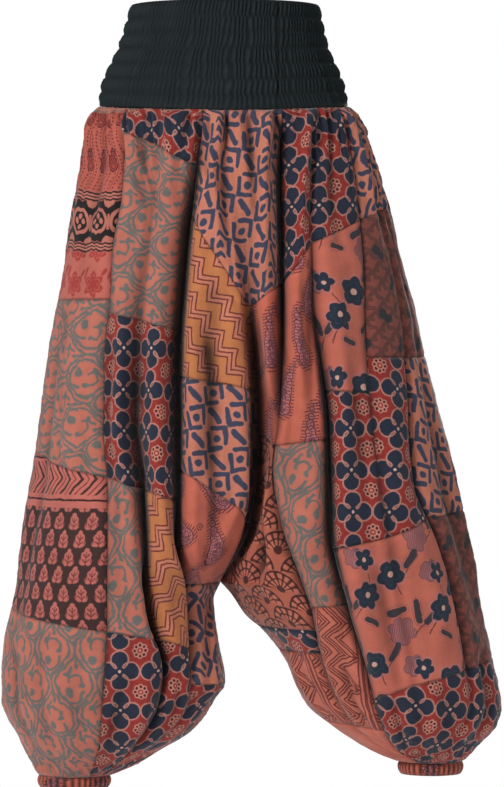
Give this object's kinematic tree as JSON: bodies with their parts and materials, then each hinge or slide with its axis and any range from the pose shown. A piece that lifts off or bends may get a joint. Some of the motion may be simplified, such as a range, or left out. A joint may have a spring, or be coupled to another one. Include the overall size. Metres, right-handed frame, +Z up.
{
  "type": "harem pants",
  "caption": "Low-crotch patchwork harem pants in worn form, with a wide shirred waistband, balloon legs and gathered elastic ankles.",
  "frame": {"origin": "middle of the waistband's top opening, where the wearer's waist holds the garment", "axes": "+Z up, the front faces -Y, the wearer's left leg is at +X"},
  "size_m": [0.6505, 0.325, 1.0153],
  "materials": {
    "maze": "indigo maze print on salmon cotton",
    "border": "maroon border print on rose cotton",
    "swirl": "faded grey scroll print on dusty salmon cotton",
    "lattice": "dark ogee lattice print on salmon cotton",
    "mosaic": "navy and red flower mosaic print cotton",
    "zigzag": "maroon zigzag print on ochre cotton",
    "paisley": "purple paisley print on salmon cotton",
    "fan": "maroon fan line print on salmon cotton",
    "geometric": "maroon line print on salmon cotton",
    "plain": "plain salmon cotton",
    "flowers": "navy flower print on salmon cotton",
    "foliage": "brown foliage print cotton",
    "band": "near-black shirred cotton band with elastic"
  },
  "bodies": {
    "root": {"waistband": "band", "front_centre_maze": "maze", "right_front_side_1": "border", "right_front_side_2": "swirl", "right_front_side_3": "lattice", "right_front_side_4": "swirl", "right_front_mid_1": "mosaic", "right_front_mid_2": "swirl", "right_front_mid_3": "mosaic", "right_front_mid_4": "swirl", "right_front_mid_5": "mosaic", "right_front_centre_1": "zigzag", "right_front_centre_2": "maze", "right_front_centre_3": "paisley", "right_front_inner_1": "zigzag", "right_front_inner_2": "maze", "right_front_inner_3": "mosaic", "left_front_centre_1": "paisley", "left_front_centre_2": "fan", "left_front_centre_3": "swirl", "left_front_inner_1": "mosaic", "left_front_inner_2": "geometric", "left_front_inner_3": "plain", "left_front_mid_1": "mosaic", "left_front_mid_2": "flowers", "left_front_mid_3": "mosaic", "left_front_mid_4": "flowers", "left_front_mid_5": "mosaic", "left_front_side_1": "maze", "left_front_side_2": "foliage", "left_front_side_3": "mosaic", "left_front_side_4": "maze", "left_front_side_5": "foliage", "right_back_side_1": "mosaic", "right_back_side_2": "flowers", "right_back_side_3": "maze", "right_back_side_4": "swirl", "right_back_mid_1": "swirl", "right_back_mid_2": "mosaic", "right_back_mid_3": "paisley", "right_back_mid_4": "mosaic", "right_back_centre_1": "maze", "right_back_centre_2": "zigzag", "right_back_inner": "geometric", "left_back_side_1": "foliage", "left_back_side_2": "mosaic", "left_back_side_3": "swirl", "left_back_side_4": "mosaic", "left_back_mid_1": "mosaic", "left_back_mid_2": "flowers", "left_back_mid_3": "swirl", "left_back_mid_4": "lattice", "left_back_centre_1": "paisley", "left_back_centre_2": "fan", "left_back_inner": "maze", "right_cuff": "paisley", "left_cuff": "paisley"}
  },
  "joints": []
}
